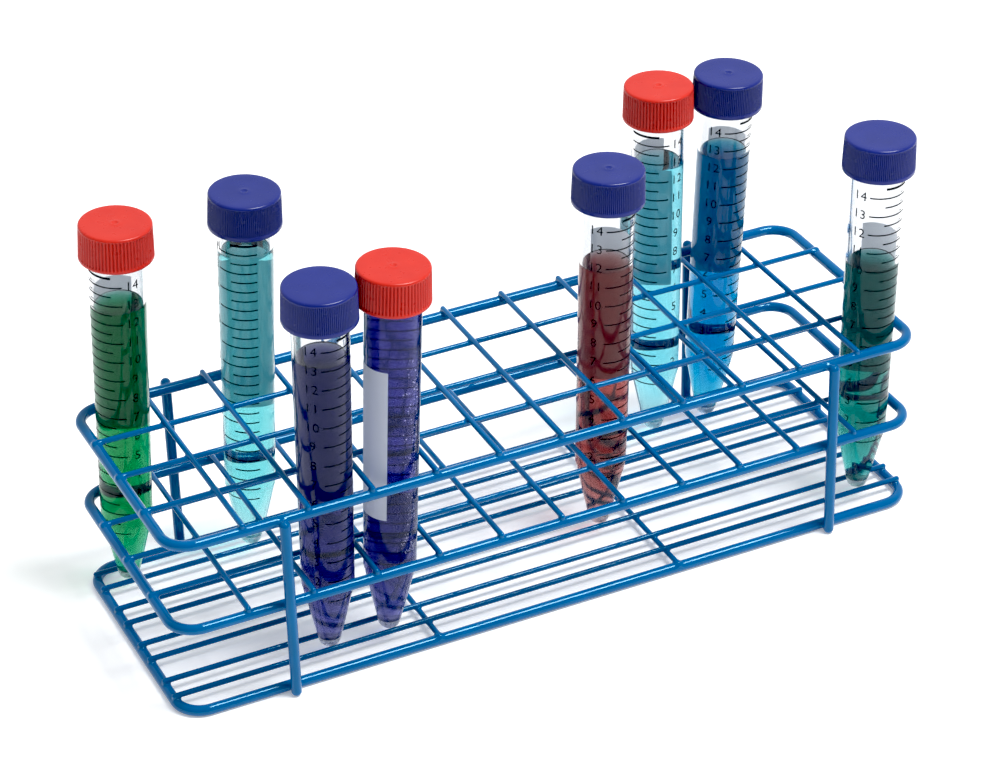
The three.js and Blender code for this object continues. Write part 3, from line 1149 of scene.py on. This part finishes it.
def add_area_light(name, place, aim, size, power):
    """A rectangular soft light whose first size runs left to right."""
    light = bpy.data.lights.new(name, "AREA")
    light.shape = "RECTANGLE"
    light.size, light.size_y = size
    light.energy = power
    lamp = bpy.data.objects.new(name, light)
    lamp.location = place
    lamp.rotation_mode = "QUATERNION"
    away = (Vector(place) - Vector(aim)).normalized()
    side = Vector((0, 1, 0)).cross(away).normalized()
    lamp.rotation_quaternion = Matrix((side, away.cross(side), away)).transposed().to_quaternion()
    bpy.context.scene.collection.objects.link(lamp)


def build_world(scene):
    """Soft light from all round, brighter from behind and from the right. The camera sees plain white."""
    world = bpy.data.worlds.new("studio")
    scene.world = world
    world.use_nodes = True
    tree = world.node_tree
    place = tree.nodes.new("ShaderNodeTexCoord")
    along = tree.nodes.new("ShaderNodeVectorMath")
    along.operation = "DOT_PRODUCT"
    along.inputs[1].default_value = WORLD_BRIGHT_SIDE
    strength = tree.nodes.new("ShaderNodeMapRange")
    set_inputs(strength, {"From Min": -0.7, "From Max": 0.6, "To Min": 0.20, "To Max": 0.86})
    path = tree.nodes.new("ShaderNodeLightPath")
    seen = tree.nodes.new("ShaderNodeMath")
    seen.operation = "MAXIMUM"
    background = tree.nodes["Background"]
    background.inputs["Color"].default_value = (0.97, 0.985, 1.0, 1)
    tree.links.new(place.outputs["Generated"], along.inputs[0])
    tree.links.new(along.outputs["Value"], strength.inputs["Value"])
    tree.links.new(strength.outputs["Result"], seen.inputs[0])
    tree.links.new(path.outputs["Is Camera Ray"], seen.inputs[1])
    tree.links.new(seen.outputs["Value"], background.inputs["Strength"])


def build_floor(scene):
    """A plain pale floor, which gives off a little light itself so that shadows stay pale."""
    mesh = bpy.data.meshes.new("floor")
    half = FLOOR_HALF_SIZE
    corners = [(-half, -half, 0), (half, -half, 0), (half, half, 0), (-half, half, 0)]
    mesh.from_pydata(corners, [], [(0, 1, 2, 3)])
    material, tree, shader, _ = new_material("pale_floor")
    set_inputs(shader, {
        "Base Color": (0.92, 0.92, 0.92, 1),
        "Roughness": 0.9,
        "Specular IOR Level": 0.1,
        "Emission Color": (1, 1, 1, 1),
        "Emission Strength": 0.27,
    })
    mesh.materials.append(material)
    floor = bpy.data.objects.new("floor", mesh)
    scene.collection.objects.link(floor)


def build_camera(scene):
    """The camera, in the place the object is looked at from."""
    data = bpy.data.cameras.new("camera")
    data.lens = CAMERA_LENS
    data.sensor_width = 36
    data.clip_start = 0.01
    camera = bpy.data.objects.new("camera", data)
    camera.location = CAMERA_PLACE
    aim = (CAMERA_AIM - CAMERA_PLACE).to_track_quat("-Z", "Y").to_matrix()
    camera.rotation_mode = "QUATERNION"
    camera.rotation_quaternion = (aim @ Matrix.Rotation(CAMERA_ROLL, 3, "Z")).to_quaternion()
    scene.collection.objects.link(camera)
    scene.camera = camera


def build_studio():
    """Floor, soft light, camera, and how the picture is made."""
    scene = bpy.context.scene
    build_floor(scene)
    build_world(scene)
    add_area_light("overhead_softbox", LIGHT_PLACE, LIGHT_AIM, LIGHT_SIZE, LIGHT_POWER)
    build_camera(scene)
    scene.view_settings.view_transform = "Standard"
    scene.view_settings.use_curve_mapping = True
    scene.view_settings.curve_mapping.black_level = BLACK_LEVEL
    scene.cycles.max_bounces = 24
    scene.cycles.transmission_bounces = 20
    scene.cycles.diffuse_bounces = 8
    scene.cycles.glossy_bounces = 10
    scene.cycles.transparent_max_bounces = 32


build_studio()
build_rack()
build_tubes()
